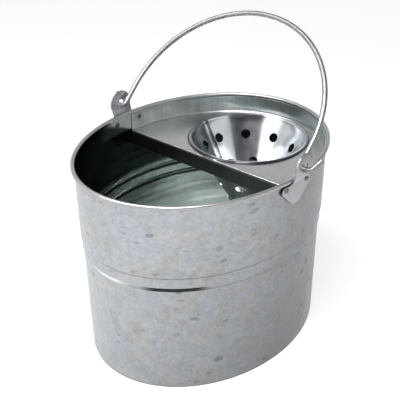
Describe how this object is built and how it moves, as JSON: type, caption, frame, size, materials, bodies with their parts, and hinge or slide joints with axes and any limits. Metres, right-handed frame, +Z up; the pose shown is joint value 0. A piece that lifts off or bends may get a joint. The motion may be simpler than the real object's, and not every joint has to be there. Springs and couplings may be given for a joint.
{
  "type": "mop bucket with wringer",
  "caption": "Oval galvanised mop bucket with a perforated cone wringer set in a half-moon plate, and a wire bail that swings in riveted ears.",
  "frame": {"origin": "middle of the foot, at the level that the bucket stands on", "axes": "+Z up, +X towards the wringer end of the oval, +Y along the axis that the bail swings about"},
  "size_m": [0.34, 0.3148, 0.3727],
  "materials": {
    "galvanised_wall": "spangled zinc, satin",
    "rim_wire": "drawn wire",
    "base_sheet": "spangled zinc, satin",
    "plate_sheet": "satin zinc",
    "cone_sheet": "bright zinc",
    "ear_sheet": "satin zinc",
    "rivet_steel": "dull",
    "bail_wire": "bright zinc"
  },
  "bodies": {
    "bucket": {"body_wall": "galvanised_wall", "rim_wire": "rim_wire", "base_pan": "base_sheet", "wringer_plate": "plate_sheet", "wringer_cone": "cone_sheet", "cone_cup": "cone_sheet", "ear_near": "ear_sheet", "ear_far": "ear_sheet", "rivet_near_front": "rivet_steel", "rivet_near_rear": "rivet_steel", "rivet_far_front": "rivet_steel", "rivet_far_rear": "rivet_steel"},
    "bail": {"bail_handle": "bail_wire"}
  },
  "joints": [
    {"name": "bail_swing", "type": "hinge", "parent": "bucket", "child": "bail", "pos_m": [0, 0, 0.25428], "axis": [0, 1, 0], "range_deg": [-136.5, 46.5]}
  ]
}
